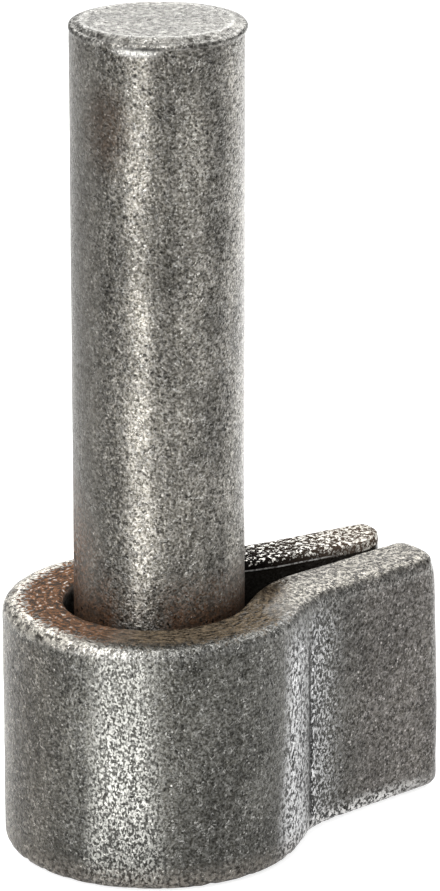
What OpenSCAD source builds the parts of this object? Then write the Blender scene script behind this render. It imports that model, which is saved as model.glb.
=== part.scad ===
// Weld-on pintle: a round pin standing in an eye wrapped from one flat strip, with a two-layer tail to weld.
// The pin's axis is Z, the eye's top face is Z = 0 and the tail's front layer runs along +X.

/* [Pin] */
// Diameter of the pin
pin_d = 12.7; // [11:0.1:16]
// Height of the pin's top above the eye's underside
pin_top = 63; // [45:0.5:90]
// Height of the pin's foot above the eye's underside
foot_lift = 2; // [1.8:0.1:4]
// Rounding of the upset rim at the pin's top
rim_r = 0.6; // [0.5:0.1:1.5]
// How far the upset rim stands out from the pin's side
rim_lip = 0.12; // [0.05:0.01:0.2]
// How much the pin's foot tapers in radius, below its bearing length, so that it can be driven into the eye
foot_taper = 0.1; // [0.05:0.01:0.3]
// Depth below the eye's top at which the bearing length begins
foot_drop = 0.1; // [0.05:0.01:0.15]
// Chamfer round the pin's foot
foot_chamfer = 0.6; // [0.3:0.1:1]

/* [Strip] */
// Thickness of the flat strip
strip_t = 4.6; // [3.5:0.05:6]
// Width of the flat strip, which is the eye's height
strip_w = 19.05; // [15:0.05:26]
// Rounding of the strip's edges on the outside of the wrap
edge_out = 0.9; // [0.5:0.1:1.1]
// Rounding of the strip's edges on the inside of the wrap
edge_in = 0.4; // [0.2:0.1:0.8]

/* [Eye] */
// Radial clearance between the pin and the eye's bore when the two are centred
bore_clear = 0.4; // [0.2:0.05:0.8]
// Clearance left where the pin leans against the bore
lean_gap = 0.05; // [0.02:0.01:0.15]
// Direction in which the pin leans, from +X
lean_angle = -42; // [-60:1:-20]

/* [Tail] */
// Distance of the tail's end from the eye's centre
tail_reach = 23.5; // [20:0.1:40]
// How far the front layer's inner face lies in front of the eye's centre
tail_offset = 2.9; // [2.5:0.05:3.4]
// Angle through which the front layer bends back where it leaves the eye
front_bend = 30; // [26:1:34]
// Radius, on the outside, of the crease where it bends
crease_r = 6; // [3:0.5:7]
// Angle between the two layers at the tail's end
back_lean = 12; // [6:0.5:14]
// Straight length on the back layer between the eye and its sweep
back_run = 1; // [0.5:0.1:2]
// Radius, on the outside, of the sweep that lays the back layer along the tail
back_sweep_r = 12; // [8:0.5:15]
// Gap between the two layers at the tail's end
tail_gap = 0.8; // [0.3:0.05:1.2]
// How much further the back layer runs than the front layer
back_extra = 0.3; // [0:0.1:2]
// Rounding of the front layer's top corner
front_corner_top = 1.5; // [1.2:0.1:4]
// Rounding of the front layer's bottom corner
front_corner_low = 1.6; // [1.2:0.1:4]
// Rounding of the back layer's top corner
back_corner_top = 1.2; // [1.2:0.1:4]
// Rounding of the back layer's bottom corner
back_corner_low = 1.6; // [1.2:0.1:4]
// Depth to which shearing rolls over the outer edge of the front layer's end
front_roll = 1.9; // [1.6:0.1:2.6]
// Depth to which shearing rolls over the inner edge of the back layer's end
back_roll = 3.2; // [1.6:0.1:3.3]
// Angle by which the rolled edges lean, so that they are deeper at the top
roll_lean = 2.5; // [0:0.1:3]

/* [Weld] */
// Thickness of the weld that closes the bore below the pin's foot
weld_h = 1.4; // [0.8:0.1:1.6]
// Rounding of the weld's lower edge
weld_edge = 0.6; // [0.2:0.1:0.7]

/* [Hidden] */
$fn = 96;

pin_r = pin_d / 2;
bore_r = pin_r + bore_clear;
half_t = strip_t / 2;
half_w = strip_w / 2;
mid_r = bore_r + half_t;

// The eye's centre lies opposite the side on which the pin leans
lean = bore_clear - lean_gap;
eye_x = -lean * cos(lean_angle);
eye_y = -lean * sin(lean_angle);

// The pin's foot ends just below the eye's top
foot_r = pin_r - foot_taper;
foot_top = strip_w - foot_drop;
rim_mid_r = pin_r + rim_lip - rim_r;

// The front layer leaves the eye straight, then bends back to run along +X
// Where there is little room, the crease tightens so that a least run is left before it
least_run = 0.5;
front_leave = front_bend - 90;
front_mid_y = -tail_offset - half_t;
front_drop = front_mid_y - mid_r * sin(front_leave);
crease_room = (front_drop - least_run * sin(front_bend)) / (1 - cos(front_bend));
crease_mid_r = min(crease_r + half_t, crease_room);
front_rise = front_drop - crease_mid_r * (1 - cos(front_bend));
front_run = front_rise / sin(front_bend);
front_bend_x = mid_r * cos(front_leave) + front_run * cos(front_bend) + crease_mid_r * sin(front_bend);
front_length = tail_reach - front_bend_x;

// The back layer also leaves straight, then sweeps round to end a gap away from the front layer
sweep_mid_r = back_sweep_r + half_t;
sweep_centre_r = mid_r + sweep_mid_r;
back_end_y = tail_gap - tail_offset + half_t * cos(back_lean);
back_sum = back_end_y * cos(back_lean) + sweep_mid_r + tail_reach * sin(back_lean);
back_span = sqrt(sweep_centre_r * sweep_centre_r + back_run * back_run);
back_leave = asin(back_sum / back_span) + atan2(back_run, sweep_centre_r) - back_lean;
back_turn = 90 - back_leave - back_lean;
back_bend_x = sweep_centre_r * cos(back_leave) + back_run * sin(back_leave) - sweep_mid_r * sin(back_lean);
back_length = (tail_reach - back_bend_x) / cos(back_lean) + back_extra;

// Straight lengths are a hair thinner than the bends and run a little way into them, so that they join
seam_step = 0.01;
seam_lap = 0.06;
run_half_t = half_t - seam_step;
run_w = strip_w - 2 * seam_step;
run_half_w = run_w / 2;

// A rolled edge meets the faces beside it at a slight angle
roll_ease = 0.3;
roll_outside = 1;
roll_inside = -1;

eye_turn = 360 + front_leave - back_leave;

pin_colour = [0.55, 0.54, 0.52];
strip_colour = [0.5, 0.49, 0.47];
weld_colour = [0.4, 0.39, 0.38];

// Half of a flat section, from its middle line to one face, with both edges rounded
module half_section(thick, high, r) {
  square([thick - r, high]);
  translate([0, r]) square([thick, high - 2 * r]);
  translate([thick - r, r]) circle(r = r);
  translate([thick - r, high - r]) circle(r = r);
}

// The strip's section at a bend, with the outside of the wrap towards +X
module bend_section() {
  half_section(half_t, strip_w, edge_out);
  mirror([1, 0]) half_section(half_t, strip_w, edge_in);
}

// The strip's section along a straight length, with the outside of the wrap towards +X
module run_section() {
  half_section(run_half_t, run_w, edge_out);
  mirror([1, 0]) half_section(run_half_t, run_w, edge_in);
}

// The lower or upper half of the section along a straight length
module half_run_section(from) {
  intersection() {
    run_section();
    translate([-half_t, from]) square([strip_t, run_half_w + seam_lap]);
  }
}

// Half of a tail end's edge, as deep as given, with the edge rounded
module half_end(deep, r) {
  square([deep - r, run_half_t]);
  square([deep, run_half_t - r]);
  intersection() {
    square([deep, run_half_t]);
    translate([deep - r, run_half_t - r]) circle(r = r);
  }
}

// The edge of a tail's end, as deep as given, with the outside of the wrap towards +Y
module end_edge(deep) {
  half_end(deep, edge_out);
  mirror([0, 1]) half_end(deep, edge_in);
}

// A straight length along +X of the section given, with the outside of the wrap on +Y
module along(length) {
  rotate([90, 0, 90]) linear_extrude(height = length) children();
}

// A quarter disc at a tail's corner, turning from +X to +Z, with the outside of the wrap on +Y
module corner(r) {
  rotate([90, 0, 0]) rotate_extrude(angle = 90) mirror([0, 1]) end_edge(r);
}

// A straight tail along +X whose end has two rounded corners, with the outside of the wrap on +Y
module tail(length, top, low) {
  along(length - low) half_run_section(0);
  along(length - top) half_run_section(run_half_w);
  translate([length - low - seam_lap, 0, low]) linear_extrude(height = half_w - low)
    end_edge(low + seam_lap);
  translate([length - top - seam_lap, 0, run_half_w]) linear_extrude(height = run_half_w - top)
    end_edge(top + seam_lap);
  translate([length - top, 0, run_w - top]) corner(top);
  translate([length - low, 0, low]) rotate([0, 90, 0]) corner(low);
}

// The outline, seen from above, of a straight tail whose end is rolled over on the +Y side
module rolled_plan(length, roll) {
  inset = roll + roll_ease;
  translate([-strip_w, -strip_t]) square([strip_w + length - roll, 2 * strip_t]);
  translate([-strip_w, -strip_t]) square([2 * strip_w + length, strip_t + run_half_t - roll]);
  translate([length - inset, run_half_t - inset]) circle(r = norm([inset, roll_ease]));
}

// A straight tail as above, with its end rolled over to the depth given on one side
module rolled_tail(length, top, low, roll, side) {
  intersection() {
    tail(length, top, low);
    translate([0, 0, half_w]) rotate([0, -roll_lean, 0]) linear_extrude(height = 2 * strip_w, center = true)
      scale([1, side]) rolled_plan(length, roll);
  }
}

// One layer from the eye outwards: a straight length, a bend towards +Y and the tail given
module layer(straight, bend_r, bend) {
  translate([-seam_lap, 0, seam_step]) along(straight + 2 * seam_lap) run_section();
  translate([straight, bend_r, 0]) {
    rotate_extrude(angle = bend, start = -90) translate([bend_r, 0]) mirror([1, 0]) bend_section();
    rotate([0, 0, bend]) translate([-seam_lap, -bend_r, seam_step]) children();
  }
}

// The layer that leaves the front of the eye, creased back to run along +X
module front_layer() {
  layer(front_run, crease_mid_r, front_bend)
    rolled_tail(front_length + seam_lap, front_corner_top, front_corner_low, front_roll, roll_outside);
}

// The layer that leaves the back of the eye and closes on the front layer
module back_layer() {
  layer(back_run, sweep_mid_r, back_turn)
    rolled_tail(back_length + seam_lap, back_corner_top, back_corner_low, back_roll, roll_inside);
}

// The flat strip, wrapped once round the pin, with its two ends laid together as the tail
module strip() {
  color(strip_colour) translate([eye_x, eye_y, -strip_w]) {
    rotate_extrude(angle = eye_turn, start = back_leave) translate([mid_r, 0]) bend_section();
    rotate([0, 0, back_leave]) translate([mid_r, 0, 0]) rotate([0, 0, -90]) back_layer();
    rotate([0, 0, front_leave]) translate([mid_r, 0, 0]) rotate([0, 0, 90]) mirror([0, 1, 0]) front_layer();
  }
}

// The round pin, with a chamfered foot and a rim upset by cutting
module pin() {
  color(pin_colour) translate([0, 0, -strip_w]) rotate_extrude() {
    polygon([
      [0, foot_lift],
      [foot_r - foot_chamfer, foot_lift],
      [foot_r, foot_lift + foot_chamfer],
      [pin_r, foot_top],
      [pin_r, pin_top - rim_r],
      [rim_mid_r, pin_top],
      [0, pin_top],
    ]);
    translate([rim_mid_r, pin_top - rim_r]) circle(r = rim_r);
  }
}

// The weld that closes the bore's lower end and holds the pin's foot
module weld() {
  color(weld_colour) translate([eye_x, eye_y, foot_lift - weld_h - strip_w]) rotate_extrude() {
    square([bore_r - weld_edge, weld_h]);
    translate([0, weld_edge]) square([bore_r, weld_h - weld_edge]);
    translate([bore_r - weld_edge, weld_edge]) circle(r = weld_edge);
  }
}

pin();
strip();
weld();
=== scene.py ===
import math
from types import SimpleNamespace

import bpy
import numpy as np
from mathutils import Matrix, Vector, noise


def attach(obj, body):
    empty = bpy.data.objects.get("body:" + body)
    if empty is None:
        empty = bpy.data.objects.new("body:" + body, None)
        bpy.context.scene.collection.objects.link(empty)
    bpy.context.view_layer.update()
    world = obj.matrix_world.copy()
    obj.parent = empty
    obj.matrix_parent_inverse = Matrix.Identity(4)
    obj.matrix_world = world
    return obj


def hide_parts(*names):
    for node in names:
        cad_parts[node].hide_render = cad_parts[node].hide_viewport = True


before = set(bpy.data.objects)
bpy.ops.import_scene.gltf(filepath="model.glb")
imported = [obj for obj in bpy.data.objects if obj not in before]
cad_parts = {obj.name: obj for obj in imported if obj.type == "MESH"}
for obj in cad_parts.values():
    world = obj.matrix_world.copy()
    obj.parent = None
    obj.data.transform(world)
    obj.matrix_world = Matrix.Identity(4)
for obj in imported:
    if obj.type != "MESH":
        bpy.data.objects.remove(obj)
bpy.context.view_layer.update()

MM = 0.001

# Sizes of the part that the pieces below need, in millimetres, as in the part's source
PIN_R = 6.35
PIN_TOP = 43.95
PIN_FOOT = -17.05
FOOT_TOP = -0.1
FOOT_TAPER = 0.1
FOOT_CHAMFER = 0.6
BASE_Z = -19.05
RUN_START = (5.415, -9.595)
RUN_ANGLE = math.radians(30)
RUN_LENGTH = 3.05
BACK_LEAN = math.radians(12)
EYE = (-0.26, 0.234)
EYE_R = 11.35
TAIL_Y = -7.266

# Directions seen from the camera, as angles round the pin from +X
AZIMUTH, ELEVATION = math.radians(-42.267), math.radians(18.046)
FRONT = AZIMUTH - math.pi / 2
RIGHT = AZIMUTH
LEFT = AZIMUTH + math.pi

# How far apart the lumps of one seed and of the next are taken
LUMP_SHIFT = (17.3, -5.1, 9.7)


def ease(x, low, high):
    """Goes smoothly from 0 at low to 1 at high."""
    t = min(1.0, max(0.0, (x - low) / (high - low)))
    return t * t * (3 - 2 * t)


def lumps(p, size, seed):
    """Smooth noise from -1 to 1 whose lumps are about size across, at a point in millimetres."""
    return noise.noise(Vector([c / size + seed * shift for c, shift in zip(p, LUMP_SHIFT)]))


def polar(angle, r, z):
    return (r * math.cos(angle), r * math.sin(angle), z)


def link(obj):
    bpy.context.scene.collection.objects.link(obj)
    return obj


# Camera
IMAGE_H = 891
FOCAL_PX = 4880.1
SENSOR = 36.0
CLIP_NEAR, CLIP_FAR = 0.01, 20.0
CAMERA_MM = (-226.35, -255.76, 123.07)


def away(azimuth, elevation):
    """The direction from the part to a place, with azimuth measured from the camera to its right."""
    a, e = AZIMUTH + math.radians(azimuth), math.radians(elevation)
    return Vector((math.sin(a) * math.cos(e), -math.cos(a) * math.cos(e), math.sin(e)))


def make_camera():
    data = bpy.data.cameras.new("camera")
    data.sensor_fit = "AUTO"
    data.sensor_width = SENSOR
    data.lens = FOCAL_PX * SENSOR / IMAGE_H
    data.clip_start, data.clip_end = CLIP_NEAR, CLIP_FAR
    obj = link(bpy.data.objects.new("camera", data))
    back = away(0, math.degrees(ELEVATION))
    right = Vector((math.cos(AZIMUTH), math.sin(AZIMUTH), 0))
    turn = Matrix((right, back.cross(right), back)).transposed().to_4x4()
    obj.matrix_world = Matrix.Translation(Vector(CAMERA_MM) * MM) @ turn
    bpy.context.scene.camera = obj


make_camera()


# Meshes
def new_piece(name, verts_mm, faces):
    mesh = bpy.data.meshes.new(name)
    mesh.from_pydata((np.asarray(verts_mm) * MM).tolist(), [], faces)
    mesh.update()
    mesh.shade_smooth()
    return link(bpy.data.objects.new(name, mesh))


# Pin
PIN_AROUND = 360
TOP_RINGS, SLOPE_RINGS, RIM_RINGS, NECK_RINGS, BODY_RINGS, FOOT_RINGS = 24, 8, 14, 26, 172, 18
TOP_DISH = 0.07
TOP_MIDDLE = PIN_TOP - 0.06
RIDGE_R = 5.5
RIDGE_RISE = 0.035
SLOPE_LEAST, SLOPE_MORE = 0.12, 0.3
RIM_R = 0.3
LIP_LEAST, LIP_MORE = 0.02, 0.17
BURR = FRONT - math.radians(13)
NECK_LOW = PIN_TOP - 2.6
NECK_DEPTH, BURR_DEPTH = 0.03, 0.06
WEAR_LOW = 0.4


def pin_top_profile(a, rim_mid):
    """Radius and height from next to the top's middle, over the ridge and down the slope to the rim."""
    ridge = RIDGE_R + 0.06 * lumps(polar(a, 6, 0), 3.0, 8)
    slope = SLOPE_LEAST + SLOPE_MORE * ease(math.cos(a - FRONT), -0.25, 0.75)
    out = []
    for k in range(1, TOP_RINGS + 1):
        r = ridge * k / TOP_RINGS
        out.append((r, PIN_TOP - TOP_DISH + RIDGE_RISE * ease(r, ridge - 0.35, ridge)))
    top = out[-1][1]
    for k in range(1, SLOPE_RINGS + 1):
        t = k / SLOPE_RINGS
        out.append((ridge + (rim_mid - ridge) * t, top - slope * t ** 1.4))
    return out


def pin_profile(a):
    """Radius and height down the pin at one angle, from next to its top's middle to its foot's edge."""
    to_right, to_front = math.cos(a - RIGHT), math.cos(a - FRONT)
    spot = polar(a, 6, 0)
    lip = LIP_LEAST + LIP_MORE * ease(to_right, -0.3, 0.95)
    lip += 0.035 * lumps(spot, 2.2, 3)
    lip += 0.02 * lumps(spot, 0.8, 4)
    rim_mid = PIN_R + lip - RIM_R
    out = pin_top_profile(a, rim_mid)
    top = out[-1][1]
    low = math.acos(max(0.0, min(1.0, (RIM_R - lip - NECK_DEPTH) / RIM_R)))
    for k in range(1, RIM_RINGS + 1):
        t = math.pi / 2 - (math.pi / 2 + low) * k / RIM_RINGS
        out.append((rim_mid + RIM_R * math.cos(t), top - RIM_R + RIM_R * math.sin(t)))
    under = out[-1][1]
    burr = ease(math.cos(a - BURR), 0.82, 0.95)
    for k in range(1, NECK_RINGS + 1):
        t = k / NECK_RINGS
        neck = NECK_DEPTH * math.exp(-t * 9) * (1 + ease(to_front, 0.2, 0.9))
        neck += BURR_DEPTH * burr * math.exp(-t * 14)
        out.append((PIN_R - neck, under + (NECK_LOW - under) * t))
    for k in range(1, BODY_RINGS + 1):
        out.append((PIN_R, NECK_LOW + (FOOT_TOP - NECK_LOW) * k / BODY_RINGS))
    for k in range(1, FOOT_RINGS + 1):
        t = k / FOOT_RINGS
        out.append((PIN_R - FOOT_TAPER * t, FOOT_TOP + (PIN_FOOT + FOOT_CHAMFER - FOOT_TOP) * t))
    out.append((PIN_R - FOOT_TAPER - FOOT_CHAMFER, PIN_FOOT))
    return out


def pin_wear(p, r):
    """How far the pin's surface is off its profile at a point of radius r, outwards and upwards."""
    if p[2] <= WEAR_LOW:
        return 0.0, 0.0
    side = ease(r, 5.2, 6.0)
    dr = side * (0.026 * lumps(p, 5.0, 1) + 0.007 * lumps(p, 1.1, 2) - 0.01)
    dr -= side * 0.09 * max(0.0, lumps(p, 0.9, 7) - 0.52)
    top = ease(p[2], PIN_TOP - 0.8, PIN_TOP - 0.5) * ease(6.3 - r, 0.0, 0.4)
    dz = top * (0.025 * lumps(p, 1.2, 5) + 0.02 * lumps(p, 0.5, 6) - 0.01)
    return dr, dz


def pin_column(a):
    """The pin's points down one angle."""
    column = []
    for r, z in pin_profile(a):
        dr, dz = pin_wear(polar(a, r, z), r)
        column.append(polar(a, r + dr, min(z + dz, PIN_TOP)))
    return column


def make_pin():
    rings = list(zip(*[pin_column(2 * math.pi * k / PIN_AROUND) for k in range(PIN_AROUND)]))
    verts = [(0, 0, TOP_MIDDLE)] + [p for ring in rings for p in ring] + [(0, 0, PIN_FOOT)]
    faces = []
    last = 1 + (len(rings) - 1) * PIN_AROUND
    for k in range(PIN_AROUND):
        n = (k + 1) % PIN_AROUND
        faces.append((0, 1 + k, 1 + n))
        faces.append((last + n, last + k, len(verts) - 1))
        for i in range(len(rings) - 1):
            b0, b1 = 1 + i * PIN_AROUND, 1 + (i + 1) * PIN_AROUND
            faces.append((b0 + k, b1 + k, b1 + n, b0 + n))
    return new_piece("pin_skin", verts, faces)


# Strip
STRIP_VOXEL = 0.235
JOIN_GAP = 0.0005
SMOOTHING, SMOOTH_TIMES = 0.5, 4
TAIL_CORNER, CORNER_WEAR = (23.1, -6.6, 0.0), 0.4
NICK, NICK_DEPTH = (-8.55, -7.52, -11.9), 0.14

# The line that the bending tool left at the end of the front layer's run, which slants a little
LINE_SLANT = 0.035
LINE_Z = -10.5
LINE_DEPTH, LINE_WIDTH = 0.14, 0.24


def dent(p, centre, spread, flatten=1.0):
    """The shape of a soft dent: 1 at its centre, fading away round it."""
    x, y, z = (a - b for a, b in zip(p, centre))
    return math.exp(-(x ** 2 + y ** 2 + (z * flatten) ** 2) / spread)


def rolled_wear(p, up):
    """The unevenness of hot-rolled bar, with pits, and with streaks round the eye on what faces up."""
    d = 0.022 - 0.03 * lumps(p, 4.0, 11) - 0.016 * lumps(p, 1.4, 12) - 0.008 * lumps(p, 0.6, 13)
    d += 0.10 * max(0.0, lumps(p, 0.9, 14) - 0.5)
    top = ease(up, 0.6, 0.9)
    if top > 0:
        r, a = math.hypot(p[0], p[1]), math.atan2(p[1], p[0])
        streak = noise.noise(Vector((r * 2.6, a * 1.6, 3.3)))
        streak += 0.6 * noise.noise(Vector((r * 6.0, a * 2.5, 8.1)))
        d += top * 0.045 * max(0.0, streak)
    return d


def crease_wear(p):
    """The tool's line across the end of the front layer's run, and a shallow hollow before it."""
    u = (math.cos(RUN_ANGLE), math.sin(RUN_ANGLE))
    x, y = p[0] - RUN_START[0], p[1] - RUN_START[1]
    along, out = x * u[0] + y * u[1], x * u[1] - y * u[0]
    if not -3 < along < RUN_LENGTH + 1 or abs(out) >= 0.5:
        return 0.0
    line = RUN_LENGTH - LINE_SLANT * (p[2] - LINE_Z)
    d = LINE_DEPTH * math.exp(-((along - line) / LINE_WIDTH) ** 2) * ease(-p[2], 1.0, 3.5)
    return d + 0.05 * ease(along, line - 2.0, line) * (1 - ease(along, line, line + 0.2))


def edge_wear(p):
    """The worn edges of the tail and the eye, the tail's upper corner, and a nick in the eye."""
    d = 0.22 * ease(p[0], 21.6, 23.3) * ease(-p[2], 11.0, 18.0)
    gap = math.hypot(p[0] - EYE[0], p[1] - EYE[1]) - EYE_R if p[0] < 8 else TAIL_Y - p[1]
    d += 0.16 * ease(p[0], 2.0, 9.0) * math.exp(-(gap ** 2 + p[2] ** 2) / 1.4)
    d += 0.2 * max(0.0, lumps(p, 0.8, 15)) * ease(-p[2], 18.2, 18.8) * ease(gap, -1.2, -0.6)
    d += CORNER_WEAR * dent(p, TAIL_CORNER, 1.3)
    return d + NICK_DEPTH * dent(p, NICK, 0.35, 1.8)


def strip_wear(p, q):
    """How far the strip's surface is worn in at a point with normal q, in millimetres."""
    return max(rolled_wear(p, q[2]) + crease_wear(p) + edge_wear(p), 0.0)


def read_vectors(mesh, name):
    """One vector of every vertex of a mesh, such as its place."""
    values = np.empty(len(mesh.vertices) * 3)
    mesh.vertices.foreach_get(name, values)
    return values.reshape(-1, 3)


def make_strip():
    """The strip's own solid, remeshed evenly and then worked over with the unevenness of hot-rolled bar."""
    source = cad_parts["strip"].data
    mesh = bpy.data.meshes.new("strip_work")
    places = (read_vectors(source, "co") / MM).tolist()
    mesh.from_pydata(places, [], [tuple(p.vertices) for p in source.polygons])
    work = link(bpy.data.objects.new("strip_work", mesh))
    weld = work.modifiers.new("weld", "WELD")
    weld.merge_threshold = JOIN_GAP
    remesh = work.modifiers.new("remesh", "REMESH")
    remesh.mode = "VOXEL"
    remesh.voxel_size = STRIP_VOXEL
    smooth = work.modifiers.new("smooth", "SMOOTH")
    smooth.factor, smooth.iterations = SMOOTHING, SMOOTH_TIMES
    even = work.evaluated_get(bpy.context.evaluated_depsgraph_get())
    done = even.to_mesh()
    faces = [tuple(p.vertices) for p in done.polygons]
    points = zip(read_vectors(done, "co"), read_vectors(done, "normal"))
    worn = [p - q * strip_wear(p, q) for p, q in points]
    even.to_mesh_clear()
    bpy.data.objects.remove(work)
    return new_piece("strip_skin", worn, faces)


pin = make_pin()
strip = make_strip()


# Materials
class Nodes:
    """Small helper that adds nodes to one material or world and joins them."""

    def __init__(self, owner):
        self.owner = owner
        owner.use_nodes = True
        self.tree = owner.node_tree
        self.tree.nodes.clear()

    def feed(self, socket, value):
        if isinstance(value, bpy.types.NodeSocket):
            self.tree.links.new(value, socket)
        else:
            socket.default_value = value

    def add(self, kind, inputs=None, **settings):
        node = self.tree.nodes.new(kind)
        for key, value in settings.items():
            setattr(node, key, value)
        for key, value in (inputs or {}).items():
            self.feed(node.inputs[key], value)
        return node

    def noise(self, where, scale, detail=2.0, rough=0.5, distort=0.0):
        inputs = {"Vector": where, "Scale": scale, "Detail": detail}
        inputs.update({"Roughness": rough, "Distortion": distort})
        return self.add("ShaderNodeTexNoise", inputs).outputs["Fac"]

    def cells(self, where, scale):
        n = self.add("ShaderNodeTexVoronoi", {"Vector": where, "Scale": scale})
        return n.outputs["Distance"], n.outputs["Color"]

    def ramp(self, value, low, high, to_low=0.0, to_high=1.0):
        inputs = {"Value": value, "From Min": low, "From Max": high, "To Min": to_low, "To Max": to_high}
        return self.add("ShaderNodeMapRange", inputs).outputs["Result"]

    def band(self, value, low_mm, high_mm, to_low=0.0, to_high=1.0):
        """A ramp between two places given in millimetres."""
        return self.ramp(value, low_mm * MM, high_mm * MM, to_low, to_high)

    def math(self, op, a, b=0.0, clamp=False):
        return self.add("ShaderNodeMath", {0: a, 1: b}, operation=op, use_clamp=clamp).outputs[0]

    def times(self, first, *rest):
        for value in rest:
            first = self.math("MULTIPLY", first, value)
        return first

    def plus(self, first, *rest):
        for value in rest:
            first = self.math("ADD", first, value)
        return first

    def less(self, a, b):
        return self.math("SUBTRACT", a, b)

    def larger(self, a, b):
        return self.math("MAXIMUM", a, b)

    def blend(self, a, b, share):
        """Two noises in one, of which the first has the share given."""
        return self.plus(self.times(a, share), self.times(b, 1 - share))

    def vector(self, op, a, b=None):
        inputs = {0: a} if b is None else {0: a, 1: b}
        return self.add("ShaderNodeVectorMath", inputs, operation=op).outputs[0]

    def scale(self, a, factor):
        return self.add("ShaderNodeVectorMath", {0: a, "Scale": factor}, operation="SCALE").outputs[0]

    def dot(self, a, b):
        return self.add("ShaderNodeVectorMath", {0: a, 1: b}, operation="DOT_PRODUCT").outputs["Value"]

    def length(self, a):
        return self.add("ShaderNodeVectorMath", {0: a}, operation="LENGTH").outputs["Value"]

    def level(self, a):
        """A place without its height."""
        return self.vector("MULTIPLY", a, (1.0, 1.0, 0.0))

    def facing(self, way, angle):
        """1 where a level direction is at the angle given, and less the further it turns away."""
        return self.dot(way, polar(angle, 1.0, 0.0))

    def split(self, a):
        return self.add("ShaderNodeSeparateXYZ", {"Vector": a}).outputs

    def mix(self, factor, a, b):
        n = self.add("ShaderNodeMix", data_type="RGBA")
        for key, value in ((0, factor), (6, a), (7, b)):
            self.feed(n.inputs[key], value)
        return n.outputs[2]

    def lay(self, colour, mask, share, over):
        """Lays a colour over another where the mask is, as thickly as the share says."""
        return self.mix(self.times(mask, share), colour, over)

    def speckle(self, value, low, high, tones):
        """The first of two colours where a noise is low, and the second where it is high."""
        return self.mix(self.ramp(value, low, high), *tones)

    def near(self, where, centre_mm, radius_mm, stretch=1.0):
        """1 at a place on the part, fading to 0 at the radius given, stretched up and down."""
        gap = self.vector("SUBTRACT", where, tuple(c * MM for c in centre_mm))
        gap = self.vector("MULTIPLY", gap, (1.0, 1.0, 1.0 / stretch))
        return self.band(self.length(gap), radius_mm, 0.3 * radius_mm)

    def painted_light_bands(self, colour, way, streaks):
        """Paints highlight and shade into a colour, as lighter or darker upright bands at angles from the
        camera's side.
        """
        for angle, half_width, factor in streaks:
            side = self.facing(way, FRONT + math.radians(angle))
            mask = self.ramp(side, math.cos(math.radians(half_width)), 1.0)
            colour = self.scale(colour, self.ramp(mask, 0.0, 0.8, 1.0, factor))
        return colour

    def end(self, shader, output="ShaderNodeOutputMaterial"):
        self.feed(self.add(output).inputs["Surface"], shader)
        return self.owner


# About how many grains of each kind lie along a metre
GRAINS, COARSE_GRAINS, BLOTCHES, PATCHES = 5600.0, 2600.0, 330.0, 420.0
WARPS, FACETS, PITS, SPECKS = 5000.0, 4600.0, 2500.0, 2900.0
WRINKLES, WRINKLE_PATCHES = 2300.0, 1500.0
FLECKS, SPOTS, SAW_MARKS = 5600.0, 3000.0, 2300.0

# How far the cells' edges wander, how far the facets lean, and how high the grains stand
WARP_REACH = 0.22 * MM
FACET_TILT = 0.24
BUMP, BUMP_DEPTH = 0.7, 0.2 * MM
MID_GREY = (0.5, 0.5, 0.5)

# Colours of bare steel
SPECK = (0.62, 0.61, 0.58, 1)
# Burnished grains, and also the painted glint on the pin's burr
BURNISHED_AND_GLINT = (0.55, 0.545, 0.52, 1)
PIT = (0.016, 0.015, 0.014, 1)


def grain_masks(m, where):
    """The noises of grainy steel, and the masks of its pits, specks and wrinkles."""
    g = SimpleNamespace()
    g.fine = m.noise(where, GRAINS, 2.0, 0.6, 0.3)
    g.coarse = m.noise(where, COARSE_GRAINS, 2.0, 0.6, 0.2)
    g.blotch = m.noise(m.vector("MULTIPLY", where, (1.0, 1.0, 0.5)), BLOTCHES, 3.0, 0.55)
    warp = m.add("ShaderNodeTexNoise", {"Vector": where, "Scale": WARPS}).outputs["Color"]
    bent = m.vector("ADD", where, m.scale(m.vector("SUBTRACT", warp, MID_GREY), WARP_REACH))
    g.facet = m.cells(bent, FACETS)[1]
    patch = m.noise(where, PATCHES, 2.0, 0.6)
    gap, pick = m.cells(bent, PITS)
    g.pits = m.times(m.ramp(gap, 0.36, 0.2), m.ramp(m.split(pick)["X"], 0.56, 0.64))
    g.pits = m.times(g.pits, m.ramp(patch, 0.4, 0.6, 0.45, 1.0))
    gap, pick = m.cells(bent, SPECKS)
    g.specks = m.times(m.ramp(gap, 0.3, 0.16), m.ramp(m.split(pick)["Y"], 0.78, 0.84))
    g.specks = m.times(g.specks, m.ramp(patch, 0.42, 0.56, 0.3, 1.0))
    fold = m.math("ABSOLUTE", m.less(m.noise(where, WRINKLES, 1.0, 0.5, 0.8), 0.5))
    g.wrinkles = m.times(m.ramp(fold, 0.032, 0.006), m.ramp(m.noise(where, WRINKLE_PATCHES), 0.5, 0.56))
    return g


def grain_normal(m, g):
    """The direction of the surface with its grains, pits and leaning facets."""
    height = m.plus(m.times(g.fine, 0.6), m.times(g.coarse, 0.6), m.times(g.wrinkles, 0.4))
    height = m.less(height, m.times(g.pits, 0.6))
    bump = m.add("ShaderNodeBump", {"Strength": BUMP, "Distance": BUMP_DEPTH, "Height": height})
    tilt = m.scale(m.vector("SUBTRACT", g.facet, MID_GREY), FACET_TILT)
    return m.vector("NORMALIZE", m.vector("ADD", bump.outputs["Normal"], tilt))


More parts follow.
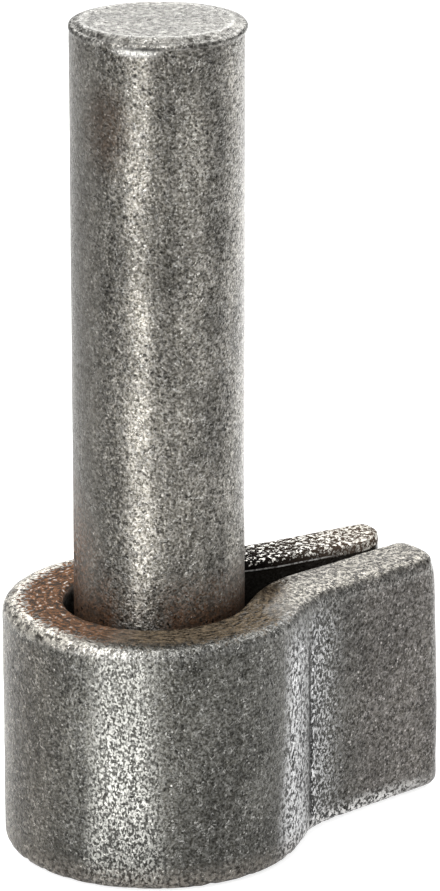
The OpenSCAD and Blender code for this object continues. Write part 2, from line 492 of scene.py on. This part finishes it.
def steel(name, base, contrast, marks):
    """Bare grainy steel: bright and dark grains, pits, glints, soft blotches, and marks of its own."""
    m = Nodes(bpy.data.materials.new(name))
    where = m.add("ShaderNodeTexCoord").outputs["Object"]
    g = grain_masks(m, where)
    fine, mid, broad = contrast
    shade = m.times(m.ramp(g.fine, 0.34, 0.66, 1 - fine, 1 + fine),
                    m.ramp(g.coarse, 0.3, 0.7, 1 - mid, 1 + mid),
                    m.ramp(m.split(g.facet)["X"], 0.0, 1.0, 0.7, 1.3),
                    m.ramp(g.blotch, 0.3, 0.7, 1 - broad, 1 + broad))
    warm = (base[0] * 1.025, base[1], base[2] * 0.92, 1)
    colour = m.scale(m.mix(m.ramp(g.fine, 0.58, 0.4), base, warm), shade)
    colour = m.lay(colour, g.specks, 0.6, SPECK)
    colour = m.lay(colour, g.wrinkles, 0.5, BURNISHED_AND_GLINT)
    colour = m.lay(colour, g.pits, 0.85, PIT)
    rough = m.ramp(g.coarse, 0.3, 0.7, 0.22, 0.38)
    colour, rough, metal = marks(m, where, g.coarse, colour, rough)
    inputs = {"Base Color": colour, "Roughness": rough, "Metallic": metal}
    inputs.update({"Normal": grain_normal(m, g), "Specular IOR Level": m.ramp(metal, 0.1, 1.0, 0.0, 0.5)})
    return m.end(m.add("ShaderNodeBsdfPrincipled", inputs).outputs[0])


RUST = ((0.02, 0.011, 0.006, 1), (0.19, 0.078, 0.027, 1))


def rusted(m, mask, coarse, colour, rough):
    """Lays rust over the steel where the mask is, in grains."""
    grains = m.times(mask, m.ramp(coarse, 0.61, 0.58))
    colour = m.lay(colour, grains, 0.9, m.speckle(coarse, 0.44, 0.57, RUST))
    rough = m.math("ADD", rough, m.times(grains, 0.35), True)
    return colour, rough, m.math("SUBTRACT", 1.0, grains, True)


# Painted highlight and painted shade in upright bands: each band's angle from the camera's side, half its
# width, and how much lighter or darker it is
PIN_PAINTED_LIGHT = ((-31, 17, 0.58), (-13, 11, 1.28), (4, 11, 0.74), (24, 12, 1.25), (42, 13, 0.78))
EYE_PAINTED_LIGHT = ((-80, 14, 1.65), (-33, 14, 0.76))

# Marks of the pin: their places and colours
# The pin's left flank, where a calmer, darker tone is painted as shade
SHADED_FLANK_SIDE = FRONT - math.radians(72)
# The side of the pin's foot kept light as painted highlight
FOOT_HIGHLIGHT_SIDE = FRONT - math.radians(12)
STAIN_PLACE = polar(FRONT - math.radians(36), PIN_R, 37.0)
# Places of the painted glint on the burr and of the painted shade line above it
BURR_GLINT_PLACE = polar(BURR, PIN_R, PIN_TOP - 1.05)
BURR_SHADE_PLACE = polar(BURR + 0.1, PIN_R, PIN_TOP - 0.8)
FOOT_RUST_PLACE = polar(LEFT, PIN_R, 2.0)
SAWN = ((0.06, 0.057, 0.052, 1), (0.38, 0.372, 0.346, 1))
# Painted highlight on the ridge of the pin's top
RIDGE_HIGHLIGHT = (0.5, 0.49, 0.465, 1)
BURR_SHADE = (0.02, 0.019, 0.017, 1)
# Painted shade on the pin's left flank
FLANK_SHADE = (0.136, 0.128, 0.114, 1)
STAIN = (0.07, 0.046, 0.032, 1)
FOOT_STAIN = (0.03, 0.016, 0.009, 1)


def pin_top_marks(m, where, z, r, colour):
    """The sawn top, a painted highlight on the ridge round it, and a painted glint on the burr under its
    rim with a painted shade line above it.
    """
    cut = m.band(z, PIN_TOP - 0.95, PIN_TOP - 0.75)
    colour = m.lay(colour, cut, 0.6, m.speckle(m.noise(where, SAW_MARKS, 3.0, 0.6, 0.5), 0.4, 0.58, SAWN))
    ridge = m.times(cut, m.band(r, RIDGE_R - 0.3, RIDGE_R), m.band(r, RIDGE_R + 0.25, RIDGE_R))
    colour = m.lay(colour, ridge, 0.6, RIDGE_HIGHLIGHT)
    colour = m.lay(colour, m.near(where, BURR_GLINT_PLACE, 2.2, 0.2), 0.8, BURNISHED_AND_GLINT)
    return m.lay(colour, m.near(where, BURR_SHADE_PLACE, 2.2, 0.1), 0.85, BURR_SHADE)


def pin_foot_marks(m, where, z, way, coarse, colour, rough):
    """Rust and a dark stain round the pin's foot, highest at the left, both kept off the side where the key
    light's highlight falls so that side stays lighter, a painted highlight.
    """
    foot = m.larger(m.band(z, 4.2, 0.0), m.near(where, FOOT_RUST_PLACE, 6.0, 1.6))
    # Rust and stain are kept off the lit side, a painted highlight
    foot = m.times(foot, m.ramp(m.facing(way, FOOT_HIGHLIGHT_SIDE), 0.92, 0.985, 1.0, 0.15))
    colour, rough, metal = rusted(m, m.times(foot, 0.8), coarse, colour, rough)
    stained = m.times(foot, m.band(z, 3.6, 0.4))
    return m.lay(colour, stained, 0.7, FOOT_STAIN), rough, metal


def pin_marks(m, where, coarse, colour, rough):
    z = m.split(where)["Z"]
    flat = m.level(where)
    way = m.vector("NORMALIZE", flat)
    side = m.band(z, PIN_TOP - 0.75, PIN_TOP - 1.15)
    # Painted highlight and painted shade in upright bands down the pin's side
    colour = m.mix(side, colour, m.painted_light_bands(colour, way, PIN_PAINTED_LIGHT))
    colour = pin_top_marks(m, where, z, m.length(flat), colour)
    # Painted shade: a calmer, darker tone over the pin's left flank
    flank_shade = m.times(side, m.ramp(m.facing(way, SHADED_FLANK_SIDE), 0.8, 0.96))
    colour = m.lay(colour, flank_shade, 0.6, FLANK_SHADE)
    stain = m.near(where, STAIN_PLACE, 2.6, 1.7)
    colour = m.lay(colour, stain, m.ramp(coarse, 0.3, 0.6, 0.2, 0.6), STAIN)
    return pin_foot_marks(m, where, z, way, coarse, colour, rough)


# Marks of the strip: their places and colours
# The side where the eye's painted glint lies
PAINTED_GLINT_SIDE = FRONT - math.radians(11)
# Where the rim's painted highlight is strongest
RIM_HIGHLIGHT_PLACE = polar(PAINTED_GLINT_SIDE - 0.2, EYE_R, -0.7)
SPOT_SHIFT = (0.31, 0.17, 0.23)
STREAKS_OUT, STREAKS_ROUND = 3800.0, 9.0
TAIL_TINT = (1.0, 0.95, 0.955)
LEFT_TINT = (1.16, 1.1, 1.05)
# Painted shade with light specks of painted glint on the back layer's top, and a painted highlight along
# its inner edge
BACK_TOP_SHADE = ((0.004, 0.003, 0.003, 1), (0.09, 0.066, 0.05, 1))
BACK_TOP_GLINTS = ((0.78, 0.755, 0.7, 1), (0.52, 0.49, 0.43, 1))
BACK_EDGE_HIGHLIGHT = (0.7, 0.69, 0.67, 1)
# Light and dark speckle of wear, partly painted highlight, and painted shade for the tool's line
WORN_AND_HIGHLIGHT = ((0.012, 0.012, 0.012, 1), (0.86, 0.862, 0.865, 1))
BEATEN_AND_HIGHLIGHT = ((0.004, 0.004, 0.004, 1), (0.86, 0.862, 0.865, 1))
TOOL_LINE_SHADE = (0.03, 0.03, 0.03, 1)
# Painted glint on the eye
PAINTED_GLINT = ((0.024, 0.024, 0.022, 1), (0.48, 0.478, 0.446, 1))
# Worn rim, partly painted highlight
RIM_WEAR_AND_HIGHLIGHT = (0.42, 0.415, 0.395, 1)
# Dark pits and stain with light specks that are partly painted highlight, on the lower edges and the tail's
# end
TAIL_EDGE_PITS_AND_HIGHLIGHT = ((0.01, 0.01, 0.009, 1), (0.8, 0.79, 0.77, 1))
EYE_EDGE_STAIN_AND_HIGHLIGHT = ((0.035, 0.026, 0.02, 1), (0.44, 0.4, 0.35, 1))
TAIL_TOP = ((0.03, 0.026, 0.021, 1), (0.4, 0.376, 0.328, 1))
# Painted shade in the gap between the layers and in the bore
HOLLOW_SHADE = (0.012, 0.010, 0.008, 1)
LIP = ((0.09, 0.08, 0.066, 1), (0.74, 0.7, 0.62, 1))
RUST_BED = (0.42, 0.4, 0.37, 1)
OLIVE = ((0.006, 0.0045, 0.003, 1), (0.17, 0.13, 0.086, 1))
# Painted shade on the front layer's inner edge
BRINK_SHADE = (0.022, 0.016, 0.011, 1)


def strip_places(m, where):
    """Where a point is on the strip, and the noises that the strip's marks share."""
    s = SimpleNamespace(where=where)
    s.x, s.y, s.z = (m.split(where)[k] for k in "XYZ")
    s.r = m.length(m.level(where))
    s.top = m.band(s.z, -0.7, -0.2)
    s.across = m.dot(where, (math.sin(BACK_LEAN), math.cos(BACK_LEAN), 0.0))
    start = m.vector("SUBTRACT", where, (RUN_START[0] * MM, RUN_START[1] * MM, 0.0))
    s.along = m.dot(start, (math.cos(RUN_ANGLE), math.sin(RUN_ANGLE), 0.0))
    s.out = m.dot(start, (math.sin(RUN_ANGLE), -math.cos(RUN_ANGLE), 0.0))
    round_eye = m.level(m.vector("SUBTRACT", where, (EYE[0] * MM, EYE[1] * MM, 0.0)))
    s.eye_r = m.length(round_eye)
    s.eye_way = m.vector("NORMALIZE", round_eye)
    s.to_left = m.facing(s.eye_way, LEFT)
    s.drum = m.times(m.band(s.eye_r, 10.5, 10.9), m.band(s.z, -0.4, -1.5))
    s.flecks = m.noise(m.vector("MULTIPLY", where, (1.0, 1.0, 0.7)), FLECKS, 2.0, 0.6, 0.4)
    s.spots = m.noise(m.vector("ADD", where, SPOT_SHIFT), SPOTS, 2.0, 0.6, 0.5)
    s.beat = m.blend(s.spots, s.flecks, 0.65)
    turn = m.times(m.math("ARCTAN2", s.y, s.x), STREAKS_ROUND)
    streak = m.add("ShaderNodeCombineXYZ", {"X": m.times(s.r, STREAKS_OUT), "Y": turn})
    s.streak = m.noise(streak.outputs[0], 1.0, 2.0, 0.5)
    return s


def tail_tint(m, s, colour):
    """The tail is a little redder than the eye, and lighter towards its end."""
    colour = m.mix(m.band(s.x, 10, 15), colour, m.vector("MULTIPLY", colour, TAIL_TINT))
    return m.scale(colour, m.band(s.x, 17, 22.5, 1.0, 1.16))


def back_layer_marks(m, s, colour):
    """Painted shade on the back layer's top and the top of its inner face, near-black with light specks of
    painted glint, and a painted highlight along its inner edge; and also where the dark part of that
    painted shade is.
    """
    far = m.times(m.band(s.x, 7.2, 8.5), m.band(s.y, -2.6, -2.0))
    top = m.times(far, m.band(s.z, -0.95, -0.8))
    shade_specks = m.plus(m.blend(s.flecks, s.spots, 0.3), m.band(s.x, 9, 19, -0.045, 0.012),
                    m.band(s.across, 5.8, 7.2, 0.0, 0.03))
    shade_specks = m.less(shade_specks, m.times(m.band(s.z, -0.3, -0.6), m.band(s.x, 18.5, 13, 0.02, 0.1)))
    # Near-black painted shade with light specks of painted glint, browner towards the tail's end
    dark = m.mix(m.band(s.x, 11, 20), *BACK_TOP_SHADE)
    bright = m.mix(m.band(s.x, 14, 21), *BACK_TOP_GLINTS)
    colour = m.lay(colour, top, 0.95, m.speckle(shade_specks, 0.505, 0.545, (dark, bright)))
    # Painted highlight: a pale line along the back layer's inner edge
    edge_highlight = m.times(far, m.band(s.z, -0.62, -0.67), m.band(s.z, -0.77, -0.72), m.band(s.x, 18, 16))
    edge_highlight = m.times(edge_highlight, m.band(s.y, 4, 3))
    colour = m.lay(colour, edge_highlight, m.ramp(s.spots, 0.36, 0.5, 0.2, 0.95), BACK_EDGE_HIGHLIGHT)
    return colour, m.times(top, m.ramp(shade_specks, 0.55, 0.515))


def crease_marks(m, s, colour):
    """The burnished run of the front layer and the beaten fold after it, with their light speckle partly
    painted highlight, and painted shade in the tool's line.
    """
    outside = m.times(m.band(s.out, -1.2, -0.6), m.band(s.z, -0.6, -2.8, 0.2, 1.0))
    wide = m.plus(s.along, m.band(s.z, -8, -19, 0.0, 1.1 * MM))
    run = m.times(m.band(wide, -3, -1.2), m.band(s.along, 3, 0.6, 0.45, 1.0), m.band(s.along, 3.4, 2.9))
    colour = m.lay(colour, m.times(run, outside), 0.85, m.speckle(s.beat, 0.463, 0.53, WORN_AND_HIGHLIGHT))
    fold = m.times(m.band(s.along, 3, 3.3), m.band(s.along, 7.2, 3.4))
    chips = m.blend(s.spots, s.flecks, 0.4)
    colour = m.lay(colour, m.times(fold, outside), 0.85, m.speckle(chips, 0.5, 0.545, BEATEN_AND_HIGHLIGHT))
    line = m.plus(s.along, m.times(m.less(s.z, LINE_Z * MM), LINE_SLANT))
    line = m.math("ABSOLUTE", m.less(line, RUN_LENGTH * MM))
    # Painted shade in the tool's line
    line = m.times(m.band(line, 0.3, 0.12), outside, m.band(s.z, -2.2, -4.5))
    return m.lay(colour, line, 0.85, TOOL_LINE_SHADE)


def eye_marks(m, s, colour):
    """Painted highlight and painted shade in upright bands on the eye's outside, its browner left, and a
    painted glint band of light specks.
    """
    # Painted highlight at the eye's left edge and painted shade beside its glint, in upright bands
    colour = m.mix(s.drum, colour, m.painted_light_bands(colour, s.eye_way, EYE_PAINTED_LIGHT))
    brown = m.vector("MULTIPLY", colour, LEFT_TINT)
    colour = m.lay(colour, s.drum, m.ramp(s.to_left, 0.5, 0.8), brown)
    # Painted glint: light specks where the key light's highlight falls on the eye, wider near its foot
    painted_glint = m.plus(m.facing(s.eye_way, PAINTED_GLINT_SIDE), m.band(s.z, -11, -18, 0.0, 0.016))
    painted_glint = m.times(m.ramp(painted_glint, 0.965, 0.995), s.drum, m.band(s.z, -4, -11, 0.75, 1.0))
    return m.lay(colour, painted_glint, 0.7, m.speckle(s.flecks, 0.45, 0.56, PAINTED_GLINT))


def rim_marks(m, s, colour):
    """Pale steel along the upper edge of the eye and of the tail's face, partly worn bare and partly
    painted highlight, strongest near the eye's painted glint.
    """
    eye = m.times(m.band(s.eye_r, 10.3, 10.7), m.band(s.x, 9.5, 7.5))
    tail = m.times(m.band(s.y, -6.3, -6.7), m.band(s.x, 6, 8))
    low = m.band(s.x, 2, 9, -1.1 * MM, -1.7 * MM)
    rim = m.times(m.larger(eye, tail), m.band(m.less(s.z, low), 0.0, 0.4), m.band(s.z, -0.02, -0.2))
    rim = m.times(rim, m.larger(m.near(s.where, RIM_HIGHLIGHT_PLACE, 4.8), 0.35))
    return m.lay(colour, rim, m.ramp(s.flecks, 0.44, 0.56), RIM_WEAR_AND_HIGHLIGHT)


def edge_marks(m, s, colour):
    """The speckled lower edge and end of the tail's face and the eye's lower edge, whose light specks are
    partly painted highlight, and the tail's top.
    """
    face = m.band(s.y, -5.5, -6.2)
    hem = m.times(m.band(s.z, -17.3, -18.3), m.band(s.x, 4.5, 7.5), m.band(s.x, 21.5, 16, 0.25, 1.0), face)
    end = m.times(m.band(s.x, 23.05, 23.4), face, 0.6)
    colour = m.lay(colour, m.larger(hem, end), 0.85, m.speckle(s.beat, 0.465, 0.54, TAIL_EDGE_PITS_AND_HIGHLIGHT))
    eye_hem = m.times(s.drum, m.band(s.z, -16.8, -18.6), m.band(s.x, 6.5, 4))
    colour = m.lay(colour, eye_hem, 0.6, m.speckle(s.beat, 0.43, 0.57, EYE_EDGE_STAIN_AND_HIGHLIGHT))
    tail_top = m.times(s.top, m.band(s.x, 3.5, 7), m.band(s.y, -2.2, -2.8))
    return m.lay(colour, tail_top, 0.8, m.speckle(s.beat, 0.45, 0.55, TAIL_TOP))


def hollow_marks(m, s, colour):
    """Painted shade in the gap between the two layers and in the bore, and also where they are."""
    gap = m.times(m.band(s.x, 6.8, 7.5), m.band(s.y, -2.85, -2.6), m.band(s.z, -0.76, -0.82),
                  m.band(s.across, 4.3, 3.6), m.band(s.x, 23.3, 22.5))
    bore = m.times(m.band(s.r, 7.4, 7.0), m.band(s.z, -0.3, -0.9))
    hollow = m.larger(gap, bore)
    return m.lay(colour, hollow, 0.9, HOLLOW_SHADE), hollow


def eye_top_marks(m, s, coarse, colour, rough):
    """The eye's top: a pale lip and rust at the left, and olive stain on the other side."""
    lip = m.times(m.band(s.z, -1.0, -0.4), m.band(s.eye_r, 9.6, 10.1), m.band(s.x, 9, 5))
    pale = m.speckle(m.blend(s.streak, s.spots, 0.5), 0.42, 0.54, LIP)
    colour = m.lay(colour, lip, m.ramp(s.to_left, 0.15, 0.7, 0.0, 0.9), pale)
    ragged = m.plus(s.r, m.ramp(s.spots, 0.3, 0.7, -0.9 * MM, 0.9 * MM))
    bend = m.times(m.band(s.y, -1.5, -2.5), m.band(s.x, 12.5, 7.5), m.band(s.out, -1.4, -3))
    ring = m.times(s.top, m.band(ragged, 10.4, 10), m.larger(m.band(s.x, 7.5, 3), bend))
    rust_side = m.times(ring, m.ramp(s.to_left, -0.1, 0.4))
    colour = m.lay(colour, rust_side, 0.85, RUST_BED)
    colour, rough, metal = rusted(m, rust_side, m.blend(coarse, s.streak, 0.5), colour, rough)
    stained = m.times(ring, m.ramp(s.to_left, 0.55, 0.1), m.ramp(s.spots, 0.36, 0.5, 0.75, 0.95))
    fibre = m.blend(s.streak, s.flecks, 0.6)
    colour = m.mix(stained, colour, m.speckle(fibre, 0.4, 0.6, OLIVE))
    return colour, rough, m.times(metal, m.less(1.0, stained))


def brink_marks(m, s, colour):
    """Painted shade on the inner edge of the front layer's top where it leaves the eye, and also where that
    is.
    """
    by_run = m.times(m.band(s.out, -2.8, -3.6), m.band(s.along, 6.5, 5))
    by_tail = m.times(m.band(s.y, -4.8, -4), m.band(s.x, 7.5, 8.5))
    brink_shade = m.times(m.larger(by_run, by_tail), s.top, m.band(s.x, 4.5, 6.5), m.band(s.x, 14.5, 8.5))
    brink_shade = m.times(brink_shade, m.band(s.y, -1.9, -2.4), m.ramp(s.beat, 0.53, 0.48, 0.35, 1.0))
    return m.lay(colour, brink_shade, 0.9, BRINK_SHADE), m.times(brink_shade, 0.9)


def strip_marks(m, where, coarse, colour, rough):
    s = strip_places(m, where)
    colour = tail_tint(m, s, colour)
    colour, shaded_top = back_layer_marks(m, s, colour)
    for marks in (crease_marks, eye_marks, rim_marks, edge_marks):
        colour = marks(m, s, colour)
    colour, hollow = hollow_marks(m, s, colour)
    colour, rough, metal = eye_top_marks(m, s, coarse, colour, rough)
    colour, brink_shade = brink_marks(m, s, colour)
    # The painted shade in the gap, the bore, the back layer's top and the brink is made rougher and not
    # metal, so that it stays dark
    dull = m.larger(m.larger(hollow, shaded_top), brink_shade)
    rough = m.math("ADD", rough, m.times(dull, 0.4), True)
    return colour, rough, m.times(metal, m.less(1.0, dull))


def weld_marks(m, where, coarse, colour, rough):
    return rusted(m, m.ramp(coarse, 0.4, 0.6, 0.0, 0.5), coarse, colour, rough)


# Each steel's colour, and the contrast of its fine grains, coarse grains and blotches
pin_steel = steel("pin_steel", (0.172, 0.165, 0.151, 1), (0.72, 0.35, 0.42), pin_marks)
strip_steel = steel("strip_steel", (0.097, 0.0958, 0.089, 1), (0.68, 0.32, 0.28), strip_marks)
weld_steel = steel("weld_steel", (0.12, 0.115, 0.11, 1), (0.6, 0.35, 0.3), weld_marks)


def dress(obj, material):
    obj.data.materials.clear()
    obj.data.materials.append(material)


dress(pin, pin_steel)
dress(strip, strip_steel)
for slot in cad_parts["weld"].material_slots:
    slot.material = weld_steel

for piece, node, slot_name in ((pin, "pin", "pin_steel"), (strip, "strip", "strip_steel")):
    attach(piece, "root")
    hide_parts(node)


# Floor
FLOOR_HALF = 3.0
FLOOR_Z = (BASE_Z - 0.1) * MM
FLOOR_GLOW = 0.8
GLOW_SIDE = 150.0
GLOW_FRONT, GLOW_BACK = 0.29, 0.85
WHITE = (1, 1, 1, 1)
PAPER = (0.5, 0.5, 0.5, 1)


def floor_white():
    """Plain white in the picture, and brighter towards one side in the part's reflections."""
    m = Nodes(bpy.data.materials.new("floor_white"))
    path = m.add("ShaderNodeLightPath").outputs
    where = m.add("ShaderNodeTexCoord").outputs["Object"]
    way = m.vector("NORMALIZE", m.level(where))
    lit = m.ramp(m.dot(way, tuple(away(GLOW_SIDE, 0))), -0.2, 0.75, GLOW_FRONT, GLOW_BACK)
    seen = m.math("ADD", path["Is Camera Ray"], m.times(path["Is Glossy Ray"], lit), True)
    seen = m.math("ADD", seen, path["Is Transmission Ray"], True)
    glow = m.add("ShaderNodeEmission", {"Color": WHITE, "Strength": m.times(seen, FLOOR_GLOW)})
    paper = m.add("ShaderNodeBsdfDiffuse", {"Color": PAPER})
    return m.end(m.add("ShaderNodeAddShader", {0: glow.outputs[0], 1: paper.outputs[0]}).outputs[0])


def make_floor():
    mesh = bpy.data.meshes.new("floor")
    signs = ((-1, -1), (1, -1), (1, 1), (-1, 1))
    mesh.from_pydata([(x * FLOOR_HALF, y * FLOOR_HALF, FLOOR_Z) for x, y in signs], [], [(0, 1, 2, 3)])
    obj = link(bpy.data.objects.new("floor", mesh))
    dress(obj, floor_white())


make_floor()

# Light
AIM = Vector((0, 0, 12 * MM))
LOW_PANEL_Z = (BASE_Z + 1) * MM


def panel(name, width, height, radiance):
    """A soft rectangular lamp of the brightness given."""
    data = bpy.data.lights.new(name, "AREA")
    data.shape = "RECTANGLE"
    data.size, data.size_y = width, height
    data.energy = radiance * math.pi * width * height
    return link(bpy.data.objects.new(name, data))


def lamp(name, azimuth, elevation, distance, width, height, radiance):
    """A panel in the air, aimed at the part."""
    obj = panel(name, width, height, radiance)
    back = away(azimuth, elevation)
    obj.location = AIM + back * distance
    obj.rotation_euler = back.to_track_quat("Z", "Y").to_euler()


def low_panel(name, azimuth, near, far, width, radiance):
    """A panel that lies on the floor beside the part and shines up."""
    obj = panel(name, width, far - near, radiance)
    obj.location = away(azimuth, 0) * ((near + far) / 2) + Vector((0, 0, LOW_PANEL_Z))
    obj.rotation_euler = (math.pi, 0, AZIMUTH + math.radians(azimuth))


lamp("key", azimuth=-27, elevation=24, distance=0.8, width=0.2, height=0.62, radiance=12.5)
lamp("brow", azimuth=-30, elevation=62, distance=0.8, width=0.4, height=0.4, radiance=7.5)
lamp("back", azimuth=170, elevation=32, distance=0.9, width=0.7, height=0.5, radiance=3.9)
low_panel("low_key", azimuth=-25, near=0.018, far=0.24, width=0.034, radiance=3.2)
low_panel("low_right", azimuth=140, near=0.07, far=0.3, width=0.16, radiance=1.25)

# Sky
SKY_LOW, SKY_HIGH = 0.05, 0.95
SKY_DIM, SKY_BRIGHT = 0.06, 1.15


def make_world():
    """A white sky, dim near the ground and bright overhead."""
    world = bpy.data.worlds.new("studio")
    bpy.context.scene.world = world
    m = Nodes(world)
    up = m.split(m.add("ShaderNodeTexCoord").outputs["Generated"])["Z"]
    glow = m.ramp(up, SKY_LOW, SKY_HIGH, SKY_DIM, SKY_BRIGHT)
    fill = m.add("ShaderNodeBackground", {"Color": WHITE, "Strength": glow})
    m.end(fill.outputs[0], "ShaderNodeOutputWorld")


make_world()

bpy.context.scene.view_settings.view_transform = "Standard"
